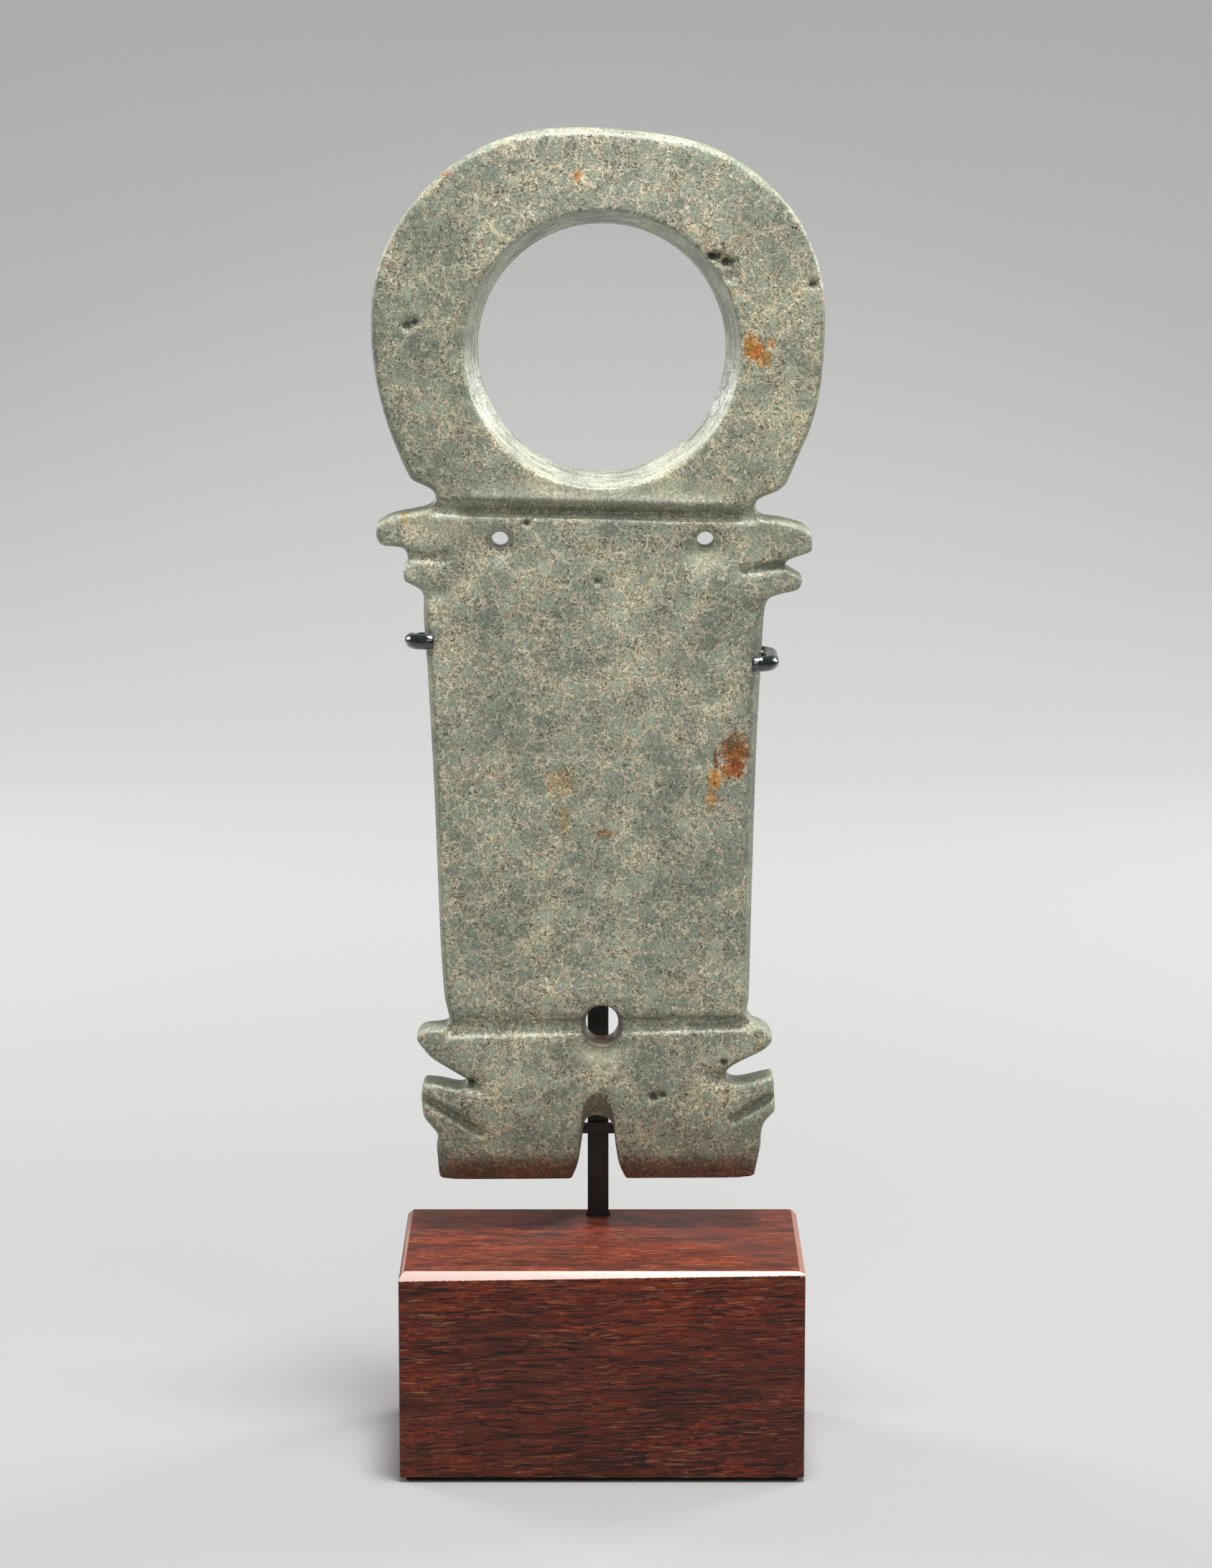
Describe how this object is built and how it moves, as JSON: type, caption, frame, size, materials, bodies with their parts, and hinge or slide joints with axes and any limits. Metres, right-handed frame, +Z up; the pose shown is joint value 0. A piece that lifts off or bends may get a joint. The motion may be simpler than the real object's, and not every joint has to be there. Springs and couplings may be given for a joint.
{
  "type": "jade figural pendant on a stand",
  "caption": "Carved jade plate with a ring head and outward-facing beast heads, drilled for hanging and held upright by a steel armature on a wood block.",
  "frame": {"origin": "centre of the wood block's footprint, on the underside of the felt it stands on", "axes": "+Z up along the post and the plate, -Y out of the carved face, +X to the right as the face is seen"},
  "size_m": [0.0994, 0.0553, 0.2942],
  "materials": {
    "jade": "satin polish, mottled grey-green",
    "dark_steel": "dark brown-black satin paint",
    "tubing": "glossy dark shrink tubing",
    "felt": "thin dark felt",
    "hardwood": "satin red-brown hardwood",
    "brass_tube": "plain drawn tube"
  },
  "bodies": {
    "base": {"wood_base": "hardwood", "post_socket": "brass_tube", "base_felt": "felt"},
    "armature": {"mount_post": "dark_steel", "lower_crossbar": "dark_steel", "left_prong": "dark_steel", "right_prong": "dark_steel", "left_prong_sleeve": "tubing", "right_prong_sleeve": "tubing", "post_pad": "felt", "left_crossbar_pad": "felt", "right_crossbar_pad": "felt"},
    "pendant": {"jade_pendant": "jade"}
  },
  "joints": [
    {"name": "armature_lift", "type": "slide", "parent": "base", "child": "armature", "axis": [0, 0, 1], "range_m": [0, 0.046]},
    {"name": "pendant_lift", "type": "slide", "parent": "armature", "child": "pendant", "axis": [0, 0, 1], "range_m": [0, 0.06]}
  ]
}
